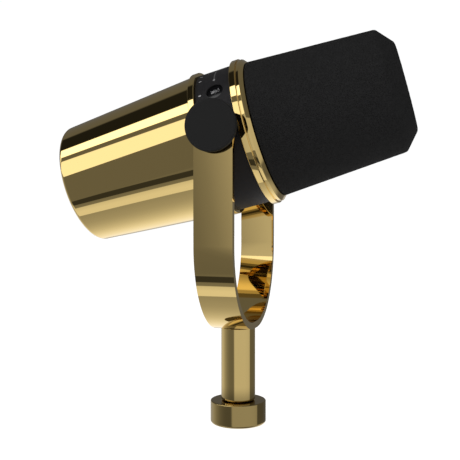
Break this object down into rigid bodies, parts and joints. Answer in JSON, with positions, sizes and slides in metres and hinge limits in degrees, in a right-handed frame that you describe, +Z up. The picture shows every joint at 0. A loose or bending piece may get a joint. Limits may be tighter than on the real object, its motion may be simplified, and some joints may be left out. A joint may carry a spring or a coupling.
{
  "type": "yoke-mounted microphone",
  "caption": "End-address microphone with foam windscreen, polished tapered housing and black control band, tilting in a U-shaped yoke with clamp knobs on a threaded stand nut.",
  "frame": {"origin": "centre of the stand nut's mouth, where the stand's thread enters", "axes": "+Z up along the stand post, +X towards the front of the microphone, +Y towards its left-hand knob; the pivot axis is along Y, 129.6 mm up"},
  "size_m": [0.1606, 0.09, 0.1737],
  "materials": {
    "polished_gold": "mirror polished gold plate",
    "black_body": "fine satin black moulding",
    "black_knob": "soft satin black",
    "foam": "open-cell acoustic foam",
    "grille_steel": "black perforated steel",
    "panel_black": "matte black rear plate",
    "bright_screw": "zinc-plated steel",
    "black_screw": "black oxide steel",
    "clamp_steel": "turned steel",
    "bush_nylon": "black nylon",
    "insert_brass": "turned brass",
    "socket_chrome": "nickel-plated shell",
    "contact_gold": "gold-plated contacts",
    "insulator_black": "moulded insulator",
    "port_steel": "drawn stainless shell",
    "board_green": "solder-masked board",
    "chip_black": "moulded chip",
    "can_aluminium": "drawn can",
    "connector_white": "natural nylon",
    "button_black": "glossy touch surface",
    "light_guide": "smoked light guide",
    "pip_clear": "frosted light pipe",
    "cradle_plastic": "glass-filled nylon",
    "mount_rubber": "soft black rubber",
    "capsule_alloy": "turned alloy",
    "magnet_nickel": "nickel-plated magnet",
    "soft_iron": "plated soft iron",
    "coil_copper": "enamelled copper wire",
    "diaphragm_film": "clear polyester film",
    "lead_grey": "grey jacket"
  },
  "bodies": {
    "stand_nut": {"stand_nut": "polished_gold"},
    "yoke": {"yoke_strap": "polished_gold", "stand_post": "polished_gold", "strap_screw": "bright_screw", "retaining_washer": "bright_screw", "retaining_screw": "bright_screw", "right_pivot_bushing": "bush_nylon", "left_pivot_bushing": "bush_nylon"},
    "microphone": {"rear_housing": "polished_gold", "rear_bezel_ring": "polished_gold", "front_bezel_ring": "polished_gold", "grille_base_ring": "polished_gold", "centre_band": "black_body", "grille_basket": "grille_steel", "rear_panel": "panel_black", "panel_screws": "black_screw", "audio_socket_shell": "socket_chrome", "audio_socket_insulator": "insulator_black", "audio_socket_pins": "contact_gold", "data_port_shell": "port_steel", "data_port_tongue": "insulator_black", "headphone_socket": "insulator_black", "main_board": "board_green", "board_sled": "cradle_plastic", "board_screws": "bright_screw", "sled_screws": "bright_screw", "board_chips": "chip_black", "board_capacitors": "can_aluminium", "board_connectors": "connector_white", "mute_button": "button_black", "light_bar": "light_guide", "indicator_lights": "pip_clear", "touch_board": "board_green", "capsule_bulkhead": "cradle_plastic", "capsule_cradle": "cradle_plastic", "shock_mounts": "mount_rubber", "capsule_housing": "capsule_alloy", "magnet_cup": "soft_iron", "capsule_magnet": "magnet_nickel", "pole_piece": "soft_iron", "voice_coil": "coil_copper", "diaphragm": "diaphragm_film", "diaphragm_clamp": "capsule_alloy", "resonator_cap": "capsule_alloy", "capsule_lead": "lead_grey", "socket_lead": "lead_grey", "right_friction_washer": "bush_nylon", "right_pivot_insert": "insert_brass", "left_friction_washer": "bush_nylon", "left_pivot_insert": "insert_brass"},
    "right_knob": {"right_clamp_knob": "black_knob", "right_clamp_screw": "clamp_steel"},
    "left_knob": {"left_clamp_knob": "black_knob", "left_clamp_screw": "clamp_steel"},
    "windscreen": {"windscreen": "foam"}
  },
  "joints": [
    {"name": "yoke_swivel", "type": "hinge", "parent": "stand_nut", "child": "yoke", "pos_m": [0, 0, 0], "axis": [0, 0, 1], "continuous": true},
    {"name": "microphone_tilt", "type": "hinge", "parent": "yoke", "child": "microphone", "pos_m": [0, 0, 0.1296], "axis": [0, -1, 0], "range_deg": [-90, 55]},
    {"name": "right_knob_turn", "type": "hinge", "parent": "microphone", "child": "right_knob", "pos_m": [0, 0, 0.1296], "axis": [0, -1, 0], "continuous": true},
    {"name": "left_knob_turn", "type": "hinge", "parent": "microphone", "child": "left_knob", "pos_m": [0, 0, 0.1296], "axis": [0, 1, 0], "continuous": true},
    {"name": "windscreen_pull", "type": "slide", "parent": "microphone", "child": "windscreen", "axis": [0.9668, 0, 0.2554], "range_m": [0, 0.06]}
  ]
}
